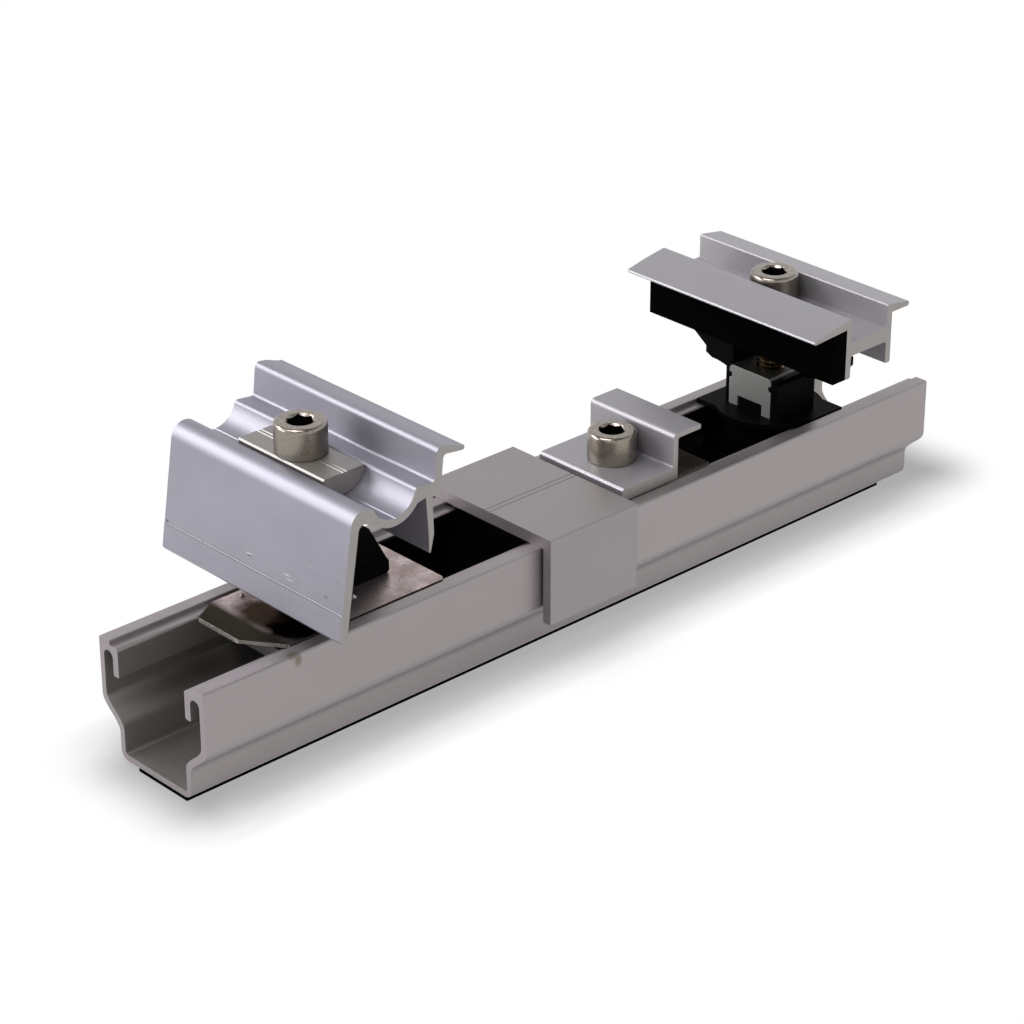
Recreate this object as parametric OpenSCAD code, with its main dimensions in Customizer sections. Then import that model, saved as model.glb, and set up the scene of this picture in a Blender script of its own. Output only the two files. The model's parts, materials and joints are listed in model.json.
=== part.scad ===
// Short mounting rail for solar panels with its clamping pieces.
// X runs along the rail, Y across it and Z up. The origin lies under the middle of the rail.

/* [Rail] */
// Length of the rail
rail_len = 250; // [240:5:400]
// Width over the upper walls
rail_w = 39; // [37:0.5:44]
// Width over the foot
rail_foot_w = 26.6; // [24:0.2:30]
// Height of the extrusion
rail_h = 30.5; // [29:0.5:36]
// Wall thickness
rail_wall = 1.6; // [1.2:0.1:2]
// Height above the floor at which the walls start to swing out
jog_low = 7; // [5:0.5:9]
// Height at which the walls are upright again
jog_high = 15; // [13:0.5:17]
// Width of the open slot between the hooked lips
slot_w = 25; // [24:0.5:26]
// Thickness of a hooked lip
lip_t = 2; // [1.6:0.1:2.4]
// Depth from the rail's top to the end of a lip
lip_drop = 9; // [8:0.5:11]
// Width of the ridge on each wall
ridge_w = 4; // [3.5:0.1:4.2]
// Step from the ridge down to the seat on the lips
ridge_step = 1.2; // [1:0.1:1.6]

/* [Sealing strip] */
// Length of the rubber strip under the rail
strip_len = 241; // [200:1:250]
// Width of the rubber strip
strip_w = 20; // [14:1:22]
// Thickness of the rubber strip
strip_t = 1; // [0.8:0.1:2]
// How far the strip is stuck off the middle of the rail
strip_shift = 2.6; // [0:0.1:3]

/* [Saddle] */
// Distance of the saddle's middle from the rail's front end
saddle_at = 120; // [112:1:120]
// Length along the rail
saddle_len = 30; // [20:1:32]
// Thickness of the saddle's deck
saddle_deck = 3.2; // [2.5:0.1:4]
// Thickness of its two cheeks
saddle_cheek = 2.7; // [2:0.1:4]
// Air between a cheek and the rail
saddle_gap = 0.7; // [0.4:0.1:1.2]
// Depth of the cheeks below the rail's top
saddle_drop = 20.3; // [15:0.1:23]

/* [End clamp] */
// Distance of the end clamp's screw from the rail's front end
end_at = 46.5; // [40:0.5:48]
// Length of the end clamp across the rail
end_len = 65.4; // [45:0.2:80]
// Height of the rocking axis above the rail's top
rocker_h = 40; // [40:0.5:44]
// Angle at which the clamp stands on its rocker
rock_angle = 6.5; // [2:0.5:8]
// Largest angle to which it rocks either way
rock_max = 8; // [8:0.5:10]
// Inner radius of the trough for the rocker washer
trough_r = 6.6; // [6.6:0.1:6.8]
// Wall of the trough
trough_wall = 2; // [1.8:0.1:2.6]
// Outer radius of the shoulder over the leg
shoulder_r = 4.1; // [3.8:0.1:4.4]
// Depth of the leg's foot below the rocking axis
leg_drop = 34.7; // [30:0.1:34.7]
// Thickness of the leg
leg_t = 2.4; // [2:0.1:2.8]
// Distance that the leg's foot stands out past its root
leg_splay = 1.2; // [0:0.1:2]
// Height of the thicker band at the foot of the leg
leg_band_h = 7.3; // [4:0.1:12]
// Distance from the rocking axis to the upright
upright_at = 12.25; // [11.8:0.05:13]
// Thickness of the upright
upright_t = 2.25; // [1.8:0.05:3]
// Height of the upright above the rocking axis
upright_h = 8.3; // [7:0.1:11]
// Reach of the holding lip past the upright
grip_len = 6.4; // [5:0.1:9]
// Depth of the short inner leg below the rocking axis
fang_drop = 17.9; // [14:0.1:18]

/* [Rocker washer] */
// Length of the half-round washer
washer_len = 31; // [24:1:40]
// Distance of its flat below the rocking axis
washer_flat = 1; // [0.6:0.1:1.2]

/* [Stop clamp] */
// Distance of the stop clamp's screw from the rail's front end
stop_at = 148.5; // [148.5:0.5:152]
// Length across the rail
stop_len = 30.2; // [26:0.2:30.4]
// Thickness of the foot under the screw head
stop_foot_t = 3.8; // [3:0.1:5]
// Reach of the foot to the left of the screw
stop_left = 11.2; // [9:0.1:11.4]
// Distance from the screw to the outer face of the upright
stop_right = 8.8; // [8.6:0.1:12]
// Thickness of the upright
stop_wall = 1.8; // [1.5:0.1:2.1]
// Height of the whole clamp
stop_h = 13.1; // [11:0.1:18]
// Reach of the lip past the upright
stop_lip = 8.2; // [6:0.1:9]
// Thickness of the lip
stop_lip_t = 1.5; // [1.3:0.1:2.5]

/* [Mid clamp] */
// Distance of the mid clamp's screw from the rail's front end
mid_at = 208; // [206:0.5:210]
// Length across the rail
mid_len = 67; // [45:1:80]
// Height of the seat for the screw head above the rail's top
mid_seat_h = 30.5; // [29:0.1:36]
// Thickness of the web under the screw head
mid_web = 3.8; // [3:0.1:4.5]
// Width of the channel for the screw head
mid_channel = 13.6; // [13.4:0.1:16]
// Wall thickness
mid_wall = 1.9; // [1.6:0.1:2.4]
// Height of the walls above the seat
mid_rise = 6.5; // [5:0.1:9]
// Height of the flanges' undersides above the seat
flange_z = 4; // [3:0.1:4.5]
// Reach of the long flange from the screw
flange_long = 21.1; // [19:0.1:21.5]
// Reach of the short flange from the screw
flange_short = 15.3; // [13:0.1:18]
// Depth of the skirts below the seat
skirt_drop = 10; // [7:0.1:11]
// Thickness of the black spacer pad against the long flange's wall
pad_t = 4.8; // [3:0.1:6]

/* [Plates, foot and nuts] */
// Thickness of the stainless plates
plate_t = 1; // [0.6:0.1:1.2]
// Half width of the bonding plate
plate_half = 14.5; // [13:0.1:14.9]
// Reach of the bonding plate's fold to the left of the screw
plate_left = 16; // [14:0.5:18]
// Reach of the bonding plate to the right of the screw
plate_right = 31.5; // [26:0.5:34]
// Length of the bonding plate's raised tab
tab_len = 11; // [6:0.5:14]
// Angle by which the tab is bent up
tab_angle = 12; // [5:1:20]
// Inner radius of the bend at the tab's root
tab_bend_r = 6; // [2:1:10]
// Half width of the plate under the stop clamp
stop_plate_half = 13.5; // [12:0.1:14.9]
// Half length of the plate under the stop clamp
stop_plate_reach = 22; // [20:0.5:22]
// Height of the black guide on the bonding plate
guide_h = 14.5; // [10:0.1:14.6]
// Reach of the guide's fin to the right of the screw
fin_reach = 23.6; // [18:0.1:24]
// Thickness of the fin at its foot
fin_t = 6; // [4:0.2:8]
// Thickness of the twist-in foot's flange
foot_t = 1.5; // [1.2:0.1:2.2]
// Radius of the foot's flange
foot_r = 14.6; // [13.5:0.1:15]
// Half length of the foot's two square corners
foot_corner = 12; // [10.5:0.5:12.5]
// Thickness of the foot's lugs under the lips
lug_t = 4.4; // [3:0.1:6]
// Length of the nut block along the rail
block_x = 16; // [13:0.5:17]
// Width of the nut block
block_y = 15; // [12.8:0.2:15.4]
// Height of the nut block
block_h = 11.4; // [9:0.1:11.6]
// Length of a slot nut along the rail
nut_x = 16; // [13:0.5:20]
// Thickness of a slot nut's wings
nut_wing_t = 6; // [4:0.1:8]
// Height of the foot's guide wings over the nut block
wing_rise = 7.9; // [5:0.1:8]
// Reach of the guide wings from the middle of the rail
wing_reach = 23.4; // [18:0.1:26]
// Thickness of the guide wings
wing_t = 2.4; // [1.5:0.1:3]
// Thickness of the wall that ties the far wing to its clip
back_wall_t = 3.6; // [2.4:0.1:4]

/* [Screws] */
// Thread diameter
screw_d = 8; // [6:1:8]
// Diameter of the cap heads
head_d = 12.8; // [12:0.1:12.8]
// Height of the cap heads
head_h = 8; // [6:0.1:8]
// Radius of the rounded edge at the top of a head
head_edge = 1; // [0.4:0.1:1.4]
// Width across flats of the hexagon socket
hex_af = 6; // [4:0.5:7]
// Depth of the hexagon socket
hex_depth = 4; // [3:0.1:5]
// Length of the end clamp's screw
end_screw_len = 55; // [50:5:60]
// Length of the stop clamp's screw
stop_screw_len = 20; // [16:1:25]
// Length of the mid clamp's screw
mid_screw_len = 35; // [32:1:38]

/* [Fits] */
// Radial air between a screw and its thread
thread_air = 0.05; // [0.02:0.01:0.1]
// Radial air round a screw in a plain hole
hole_air = 0.4; // [0.3:0.1:0.8]
// Air between a piece that slides and what guides it
slide_air = 0.2; // [0.1:0.05:0.3]
// Air between a nut's wing and the lip that it pulls against
grip_air = 0.1; // [0.05:0.05:0.2]
// Radial air between the rocker washer and its trough
rocker_air = 0.08; // [0.05:0.01:0.1]

/* [Hidden] */

// Heights in the rail
top_z = strip_t + rail_h;
seat_z = top_z - ridge_step;
lip_end_z = top_z - lip_drop;
plate_top_z = seat_z + plate_t;
foot_top_z = seat_z + foot_t;
block_top_z = foot_top_z + block_h;

// Places of the pieces along the rail, measured from its middle
end_x = end_at - rail_len / 2;
saddle_x = saddle_at - rail_len / 2;
stop_x = stop_at - rail_len / 2;
mid_x = mid_at - rail_len / 2;

// Heights of the screw seats and of the rocking axis
rocker_z = top_z + rocker_h;
end_seat_z = rocker_z - washer_flat;
stop_seat_z = plate_top_z + stop_foot_t;
mid_seat_z = top_z + mid_seat_h;

// Widths inside the rail
ridge_half = rail_w / 2 - ridge_w;
wall_half = rail_w / 2 - rail_wall;
slot_half = slot_w / 2;
foot_half = rail_foot_w / 2;

hole_d = screw_d + 2 * hole_air;
shank_d = screw_d - 2 * thread_air;
washer_r = trough_r - rocker_air;
edge_r = 0.8;
fine = 96;

// Points of an arc from angle a to angle b
function arc(cx, cy, r, a, b, n) =
    [for (i = [0:n]) [cx + r * cos(a + (b - a) * i / n), cy + r * sin(a + (b - a) * i / n)]];

// Points of a soft double bend from one upright wall to the next
function bend(y0, y1, z0, z1, n) =
    [for (i = [0:n]) [y0 + (y1 - y0) * (1 - cos(180 * i / n)) / 2, z0 + (z1 - z0) * i / n]];

// The same points in the opposite order, mirrored to the other side
function other_side(p) = [for (i = [len(p) - 1:-1:0]) [-p[i][0], p[i][1]]];

// A section drawn in Y and Z, drawn out along the rail
module along_rail(len) {
    rotate([90, 0, 90]) linear_extrude(len, center = true) children();
}

// A section drawn in X and Z, drawn out across the rail
module across_rail(len) {
    rotate([90, 0, 0]) linear_extrude(len, center = true) children();
}

// An upright round hole
module hole(d, z0, z1) {
    translate([0, 0, z0]) cylinder(d = d, h = z1 - z0, $fn = fine);
}

// Rail: one half of the section, from the underside round the wall and the hooked lip to the floor
rail_corner_r = 2.5;
rail_inner_r = 1;
lip_edge_r = 1;
groove_r = (wall_half - slot_half - lip_t) / 2;
groove_top = rail_h - ridge_step - rail_wall;
bend_lift = rail_wall * 0.6;
rail_half = concat(
    arc(foot_half - rail_corner_r, rail_corner_r, rail_corner_r, -90, 0, 8),
    bend(foot_half, rail_w / 2, jog_low, jog_high, 14),
    [
        [rail_w / 2, rail_h - 0.4],
        [rail_w / 2 - 0.4, rail_h],
        [ridge_half, rail_h],
        [ridge_half, rail_h - ridge_step]
    ],
    arc(slot_half + lip_edge_r, rail_h - ridge_step - lip_edge_r, lip_edge_r, 90, 180, 6),
    [
        [slot_half, rail_h - lip_drop + 0.3],
        [slot_half + 0.3, rail_h - lip_drop],
        [slot_half + lip_t, rail_h - lip_drop]
    ],
    arc(slot_half + lip_t + groove_r, groove_top - groove_r, groove_r, 180, 0, 10),
    bend(wall_half, foot_half - rail_wall, jog_high + bend_lift, jog_low + bend_lift, 14),
    arc(foot_half - rail_wall - rail_inner_r, rail_wall + rail_inner_r, rail_inner_r, 0, -90, 5)
);

module rail() {
    color([0.62, 0.6, 0.6])
        translate([0, 0, strip_t])
            along_rail(rail_len) polygon(concat(rail_half, other_side(rail_half)));
}

// Rubber strip, stuck under the rail and flush with its front end
module sealing_strip() {
    color([0.05, 0.05, 0.05])
        translate([(strip_len - rail_len) / 2, -strip_shift, strip_t / 2])
            cube([strip_len, strip_w, strip_t], center = true);
}

// Saddle: a U turned over the rail, with two fine centre lines scored in its deck
saddle_in = rail_w / 2 + saddle_gap;
saddle_out = saddle_in + saddle_cheek;
score_w = 0.5;
score_gap = 1.6;

module saddle_section() {
    difference() {
        polygon([
            [-saddle_out, -saddle_drop], [-saddle_out, saddle_deck - 0.3], [-saddle_out + 0.3, saddle_deck],
            [saddle_out - 0.3, saddle_deck], [saddle_out, saddle_deck - 0.3], [saddle_out, -saddle_drop],
            [saddle_in, -saddle_drop], [saddle_in, 0], [-saddle_in, 0], [-saddle_in, -saddle_drop]
        ]);
        for (s = [-1, 1]) score(s * score_gap / 2, saddle_deck);
    }
}

// A small V-shaped score in a flat top
module score(at, height) {
    translate([at, height])
        polygon([[-score_w / 2, 0.01], [0, -score_w / 2], [score_w / 2, 0.01]]);
}

module saddle() {
    color([0.58, 0.57, 0.56])
        translate([saddle_x, 0, top_z]) along_rail(saddle_len) saddle_section();
}

// End clamp, drawn upright about its rocking axis
shoulder_angle = 218;
shoulder_c = (trough_r + shoulder_r - 0.3) * [cos(shoulder_angle), sin(shoulder_angle)];
leg_out = shoulder_c[0] - shoulder_r;
leg_in = leg_out + leg_t;
band_t = 0.1;
rim_z = -0.3;
rim_r = 1;
rim_c = [sqrt(pow(trough_r + rim_r, 2) - pow(rim_r - rim_z, 2)), rim_z - rim_r];
root_z = -3;
trough_score = 8;
void_r = 1.6;
void_c = [leg_in + void_r, shoulder_c[1] - 1.2];
fang_knee = fang_drop * 0.74;
slot_reach = screw_d / 2 + (trough_r + trough_wall) * sin(rock_max) + 0.15;

// Outline, drawn clockwise from the leg's foot over the shoulder and the lip and back under the trough
band_z = leg_band_h - leg_drop;
leg_outline = concat(
    [
        [leg_out - leg_splay + edge_r, -leg_drop],
        [leg_out - leg_splay, edge_r - leg_drop],
        [leg_out - leg_splay * 0.72 - band_t, band_z - 0.2],
        [leg_out - leg_splay * 0.72, band_z]
    ],
    arc(shoulder_c[0], shoulder_c[1], shoulder_r, 180, 20, 24),
    [[-1, -1], [1, -1]]
);

up_out = upright_at + upright_t;
grip_z = upright_h - 2.2;
upright_outline = concat(
    [[trough_r - 1, rim_z - rim_r]],
    arc(rim_c[0], rim_c[1], rim_r, 165, 90, 5),
    arc(upright_at - 0.8, rim_z + 0.8, 0.8, -90, 0, 4),
    arc(upright_at + 1.4, upright_h - 1.4, 1.4, 180, 90, 6),
    [[up_out + 1, upright_h - 0.05], [up_out + grip_len - 1.6, upright_h - 0.9]],
    arc(up_out + grip_len - 0.65, grip_z + 0.65, 0.65, 60, -100, 6),
    [[up_out + 1, grip_z + 0.05]],
    arc(up_out + 0.9, grip_z - 0.85, 0.9, 90, 180, 5),
    [[up_out, root_z + 0.4], [up_out - 0.4, root_z]]
);

under_outline = concat(
    [
        [upright_at - 0.3, root_z],
        [upright_at + 1.2, -fang_knee],
        [upright_at + 0.65, 0.3 - fang_drop],
        [upright_at + 0.45, -fang_drop],
        [upright_at + 0.15, 0.3 - fang_drop],
        [upright_at - 0.4, -fang_knee],
        [upright_at - 2.2, root_z - 0.5]
    ],
    arc(0, 0, trough_r + trough_wall, -30, -120, 24),
    arc(void_c[0], void_c[1], void_r, 50, 180, 10),
    [
        [leg_in - leg_splay, edge_r - leg_drop],
        [leg_in - leg_splay - edge_r, -leg_drop]
    ]
);

module end_section() {
    difference() {
        polygon(concat(leg_outline, upright_outline, under_outline));
        circle(trough_r, $fn = fine);
        rotate(trough_score) translate([0, -trough_r]) rotate(45) square(score_w * 0.8, center = true);
    }
}

// Slotted hole through the trough, long enough for the screw at every rocking angle
module rocker_slot() {
    depth = trough_r + trough_wall + 2;
    reach = slot_reach - screw_d / 2 - hole_air;
    for (s = [-1, 1]) translate([s * reach, 0, 0]) hole(hole_d, -depth, 0);
    translate([0, 0, -depth / 2]) cube([2 * reach, hole_d, depth], center = true);
}

module end_clamp() {
    color([0.68, 0.68, 0.72])
        translate([end_x, 0, rocker_z]) rotate([0, rock_angle, 0])
            difference() {
                across_rail(end_len) end_section();
                rocker_slot();
            }
}

// Half-round washer with a flat top for the screw head
module washer_section() {
    half = sqrt(washer_r * washer_r - washer_flat * washer_flat);
    difference() {
        circle(washer_r, $fn = fine);
        translate([-10, -washer_flat]) square([20, 20]);
        for (s = [-1, 1]) {
            translate([s * half, -washer_flat]) rotate(45) square(0.7, center = true);
            score(s * score_gap / 3, -washer_flat);
        }
    }
}

module rocker_washer() {
    color([0.64, 0.64, 0.67])
        translate([end_x, 0, rocker_z])
            difference() {
                across_rail(washer_len) washer_section();
                hole(hole_d, -trough_r, 0);
            }
}

// Cap screw with a hexagon socket, seated at height 0. A short cone opens the mouth of the socket.
mouth_h = 0.6;

module cap_screw(len) {
    r = head_d / 2;
    tip = 1;
    difference() {
        rotate_extrude($fn = fine)
            polygon(concat(
                [[0, -len], [shank_d / 2 - tip, -len], [shank_d / 2, tip - len], [shank_d / 2, 0]],
                [[r - 0.2, 0], [r, 0.2]],
                arc(r - head_edge, head_h - head_edge, head_edge, 0, 90, 8),
                [[0, head_h]]
            ));
        translate([0, 0, head_h - hex_depth])
            cylinder(d = hex_af / cos(30), h = hex_depth + 1, $fn = 6);
        translate([0, 0, head_h - mouth_h])
            cylinder(d1 = hex_af, d2 = hex_af / cos(30) + 1.4, h = 2 * mouth_h, $fn = fine);
    }
}

module end_screw() {
    color([0.66, 0.62, 0.58])
        translate([end_x, 0, end_seat_z]) cap_screw(end_screw_len);
}

module stop_screw() {
    color([0.66, 0.62, 0.58])
        translate([stop_x, 0, stop_seat_z]) cap_screw(stop_screw_len);
}

module mid_screw() {
    color([0.66, 0.62, 0.58])
        translate([mid_x, 0, mid_seat_z]) cap_screw(mid_screw_len);
}

// Stainless bonding plate on the rail's seats, with a tapered tab bent up at its left end
plate_r = 1.5;
bend_r = tab_bend_r + plate_t;
tab_dir = [-cos(tab_angle), sin(tab_angle)];
tab_up = [sin(tab_angle), cos(tab_angle)];
tab_root = [-plate_left - bend_r * sin(tab_angle), bend_r * (1 - cos(tab_angle))];
tab_end = tab_root + (tab_len - bend_r * sin(tab_angle)) * tab_dir;

module bonding_section() {
    polygon(concat(
        [[plate_right, 0], [plate_right, plate_t]],
        arc(-plate_left, bend_r, tab_bend_r, -90, -90 - tab_angle, 5),
        [tab_end + plate_t * tab_up, tab_end],
        arc(-plate_left, bend_r, bend_r, -90 - tab_angle, -90, 5)
    ));
}

// Plan of the plate: the tab tapers to half the width, with rounded corners
tab_x = 0.05 - tab_end[0];
tab_half = plate_half / 2;
taper = atan2(plate_half - tab_half, tab_x - plate_left - 1);
tab_corner_y = tab_half - plate_r * tan((90 - taper) / 2);

module bonding_plan() {
    polygon(concat(
        arc(plate_right - plate_r, plate_half - plate_r, plate_r, 90, 0, 4),
        arc(plate_right - plate_r, plate_r - plate_half, plate_r, 0, -90, 4),
        [[-plate_left - 1, -plate_half]],
        arc(plate_r - tab_x, -tab_corner_y, plate_r, 270 - taper, 180, 5),
        arc(plate_r - tab_x, tab_corner_y, plate_r, 180, 90 + taper, 5),
        [[-plate_left - 1, plate_half]]
    ));
}

// Two pointed studs that bite through the anodising, one to each side of the screw
stud_places = [[-0.68, 0.82] * plate_half, [0.61, -0.46] * plate_half];
stud_d = 1.8;
stud_h = 0.7;

module bite_studs() {
    for (p = stud_places)
        translate([p[0], p[1], plate_t]) cylinder(d1 = stud_d, d2 = stud_d / 6, h = stud_h, $fn = fine);
}

module bonding_plate() {
    color([0.76, 0.7, 0.68])
        translate([end_x, 0, seat_z])
            difference() {
                union() {
                    intersection() {
                        across_rail(2 * plate_half) bonding_section();
                        translate([0, 0, -1]) linear_extrude(plate_t + tab_len) bonding_plan();
                    }
                    bite_studs();
                }
                hole(hole_d, -1, plate_t + 1);
            }
}

module stop_plate() {
    color([0.7, 0.67, 0.66])
        translate([stop_x, 0, seat_z])
            difference() {
                translate([-stop_plate_reach, -stop_plate_half, 0])
                    cube([2 * stop_plate_reach, 2 * stop_plate_half, plate_t]);
                hole(hole_d, -1, plate_t + 1);
            }
}

// Black guide round the end clamp's screw, with a sloping fin to the right
guide_r = 7;

module fin_section() {
    slope = 0.55;
    foot_h = 3.9;
    polygon([
        [0, 0], [fin_reach - 0.6, 0], [fin_reach, 0.6], [fin_reach, foot_h - 0.8],
        [fin_reach - 0.4, foot_h], [fin_reach - 0.4 - (guide_h - 1 - foot_h) * slope, guide_h - 1],
        [fin_reach - 1.6 - (guide_h - 1 - foot_h) * slope, guide_h], [0, guide_h]
    ]);
}

module fin_band_section() {
    polygon([
        [0, 0], [fin_reach - 0.6, 0], [fin_reach, 0.6],
        [fin_reach, 3.1], [fin_reach - 0.4, 3.9], [0, 3.9]
    ]);
}

module end_guide() {
    color([0.06, 0.06, 0.07])
        translate([end_x, 0, plate_top_z])
            difference() {
                union() {
                    cylinder(r = guide_r, h = guide_h, $fn = fine);
                    across_rail(fin_t - 0.8) fin_section();
                    across_rail(fin_t) fin_band_section();
                }
                hole(hole_d, -1, guide_h + 1);
            }
}

// Slot nut: wings under the hooked lips and a boss that rises between them
nut_top_z = seat_z - 0.4;
wing_top_z = lip_end_z - grip_air;
wing_half = wall_half - 1.5;
boss_y = 15;

module slot_nut() {
    difference() {
        union() {
            translate([0, 0, wing_top_z - nut_wing_t])
                linear_extrude(nut_wing_t)
                    intersection() {
                        square([nut_x, 2 * wing_half], center = true);
                        circle(wall_half - 0.5, $fn = fine);
                    }
            translate([-nut_x / 2, -boss_y / 2, wing_top_z - 1])
                cube([nut_x, boss_y, nut_top_z - wing_top_z + 1]);
        }
        hole(screw_d, 0, top_z);
    }
}

// Nylon cage that holds the nut square between the lips
module nut_cage() {
    wall = 2.6;
    fit = 0.1;
    translate([0, 0, wing_top_z])
        linear_extrude(nut_top_z - wing_top_z)
            difference() {
                square([nut_x + 2 * wall, 2 * (slot_half - slide_air)], center = true);
                square([nut_x + 2 * fit, boss_y + 2 * fit], center = true);
            }
}

module end_slot_nut() {
    color([0.7, 0.7, 0.71]) translate([end_x, 0, 0]) slot_nut();
}

module end_nut_cage() {
    color([0.06, 0.06, 0.07]) translate([end_x, 0, 0]) nut_cage();
}

module stop_slot_nut() {
    color([0.7, 0.7, 0.71]) translate([stop_x, 0, 0]) slot_nut();
}

module stop_nut_cage() {
    color([0.06, 0.06, 0.07]) translate([stop_x, 0, 0]) nut_cage();
}

// Stop clamp: a Z-shaped extrusion
module stop_section() {
    corner = 1.4;
    inner = stop_right - stop_wall;
    polygon(concat(
        [[-stop_left, 0], [stop_right, 0], [stop_right, stop_h - stop_lip_t - 0.6]],
        arc(stop_right + 0.6, stop_h - stop_lip_t - 0.6, 0.6, 180, 90, 3),
        [
            [stop_right + stop_lip, stop_h - stop_lip_t],
            [stop_right + stop_lip, stop_h - 0.3], [stop_right + stop_lip - 0.3, stop_h]
        ],
        arc(inner + corner, stop_h - corner, corner, 90, 180, 6),
        arc(inner - 0.6, stop_foot_t + 0.6, 0.6, 0, -90, 3),
        [[-stop_left + 0.6, stop_foot_t], [-stop_left, stop_foot_t - 0.6]]
    ));
}

module stop_clamp() {
    color([0.66, 0.65, 0.69])
        translate([stop_x, 0, plate_top_z])
            difference() {
                across_rail(stop_len) stop_section();
                hole(hole_d, -1, stop_foot_t + 1);
            }
}

// Points of a slightly crowned slope from one place to another
function crown(x0, z0, x1, z1, n) =
    [for (i = [0:n]) [x0 + (x1 - x0) * i / n, z0 + (z1 - z0) * (0.7 * i / n + 0.3 * pow(i / n, 2))]];

// Mid clamp: a channel for the screw head, two wedge-shaped flanges and two skirts
mid_half = mid_channel / 2;
mid_out = mid_half + mid_wall;
flange_tip = 0.8;
flange_sag = 0.7;
flange_short_tip = 1.3;

module mid_section() {
    polygon(concat(
        [[-mid_half, mid_rise - 0.3], [-mid_half - 0.3, mid_rise]],
        crown(-mid_half - 0.9, mid_rise, -flange_long + 0.2, flange_z - flange_sag + flange_tip, 8),
        [
            [-flange_long, flange_z - flange_sag + flange_tip / 2],
            [-flange_long + 0.3, flange_z - flange_sag],
            [-mid_out, flange_z], [-mid_out, 0.3 - skirt_drop], [-mid_out + 0.3, -skirt_drop],
            [-mid_half - 0.3, -skirt_drop], [-mid_half, 0.3 - skirt_drop]
        ],
        arc(-mid_half + 0.8, -mid_web - 0.8, 0.8, 180, 90, 4),
        arc(mid_half - 0.8, -mid_web - 0.8, 0.8, 90, 0, 4),
        [
            [mid_half, 0.3 - skirt_drop], [mid_half + 0.3, -skirt_drop],
            [mid_out - 0.3, -skirt_drop], [mid_out, 0.3 - skirt_drop], [mid_out, flange_z],
            [flange_short - 0.4, flange_z], [flange_short, flange_z + flange_short_tip / 2],
            [flange_short - 0.3, flange_z + flange_short_tip],
            [mid_half + 0.9, mid_rise], [mid_half + 0.3, mid_rise], [mid_half, mid_rise - 0.3]
        ],
        [[mid_half, 0], [-mid_half, 0]]
    ));
}

module mid_clamp() {
    color([0.68, 0.66, 0.68])
        translate([mid_x, 0, mid_seat_z])
            difference() {
                across_rail(mid_len) mid_section();
                hole(hole_d, -mid_web - 1, 1);
            }
}

// Black pad that keeps the panel frame off the clamp's wall
pad_short = 1.2;

module spacer_pad() {
    run = flange_long - mid_out;
    color([0.04, 0.04, 0.04])
        translate([mid_x, -pad_short / 2, mid_seat_z])
            across_rail(mid_len - pad_short)
                polygon([
                    [-mid_out, -skirt_drop], [-mid_out, flange_z],
                    [-mid_out - pad_t, flange_z - flange_sag * pad_t / (run - 0.3)],
                    [-mid_out - pad_t, -skirt_drop]
                ]);
}

// Threaded block that straddles a rib on the foot and is held by two clips
rib_y = 8.2;
rib_h = 2.9;
notch_z = 7.6;
notch_h = 1.6;
notch_d = 0.9;

module block_section() {
    half = block_y / 2;
    r = 1.4;
    polygon(concat(
        [[-half, 0], [-rib_y / 2 - 0.2, 0], [-rib_y / 2 - 0.2, rib_h + 0.2]],
        [[rib_y / 2 + 0.2, rib_h + 0.2], [rib_y / 2 + 0.2, 0], [half, 0]],
        [
            [half, notch_z], [half - notch_d, notch_z + 0.3],
            [half - notch_d, notch_z + notch_h], [half, notch_z + notch_h]
        ],
        arc(half - r, block_h - r, r, 0, 90, 5),
        arc(r - half, block_h - r, r, 90, 180, 5),
        [
            [-half, notch_z + notch_h], [notch_d - half, notch_z + notch_h],
            [notch_d - half, notch_z + 0.3], [-half, notch_z]
        ]
    ));
}

module nut_block() {
    color([0.72, 0.71, 0.71])
        translate([mid_x, 0, foot_top_z])
            difference() {
                along_rail(block_x) block_section();
                hole(screw_d, 0, block_h + 1);
            }
}

// Twist-in foot: flange on the rail's seats, round neck in the slot, lugs under the lips, two clips
clip_t = 2.4;
clip_air = 0.1;

module foot_plan() {
    circle(foot_r, $fn = fine);
    for (s = [-1, 1])
        scale([s, s]) translate([0, -ridge_half + slide_air]) square([foot_corner, ridge_half - slide_air]);
}

module clip_section() {
    y0 = block_y / 2 + clip_air;
    hook = notch_d - 0.2;
    polygon([
        [y0, 0], [y0 + clip_t, 0], [y0 + clip_t, block_h - 1.2], [y0 + clip_t - 0.8, block_h - 0.3],
        [y0, block_h - 0.3], [y0, notch_z + notch_h - 0.1], [y0 - hook, notch_z + notch_h - 0.2],
        [y0 - hook, notch_z + 0.5], [y0, notch_z + 0.2]
    ]);
}

module clip() {
    translate([0.7, 0, 0]) along_rail(block_x - 1.5) clip_section();
    translate([0.6 + wing_t / 2 - mid_half, 0, 0]) along_rail(wing_t) wing_section();
}

// Wing that rises from a clip and runs between the mid clamp's skirts
module wing_section() {
    y0 = block_y / 2 + clip_air;
    y1 = y0 + clip_t;
    top = block_h + wing_rise;
    polygon([
        [y0 + 0.4, block_h - 3.4], [y1 + 0.6, block_h - 2], [y1 + 3.4, block_h - 1.5],
        [y1 + 5.8, block_h - 1.4], [y1 + 8, block_h - 0.4], [y1 + 8, block_h + 1.4],
        [wing_reach - 0.6, block_h + 4.7], [wing_reach, block_h + 5.4],
        [wing_reach, top - 0.4], [wing_reach - 0.4, top],
        [y1 + 1.2, top], [y0 + 0.4, block_h + 2.6]
    ]);
}

// Wall behind the screw that ties the far wing to its clip
module back_wall() {
    left = mid_half - 0.6;
    low = block_h - 1.5;
    translate([-left, block_y / 2 + clip_air + 0.4, low])
        cube([left + screw_d / 2, back_wall_t, block_h + wing_rise - low]);
}

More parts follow.
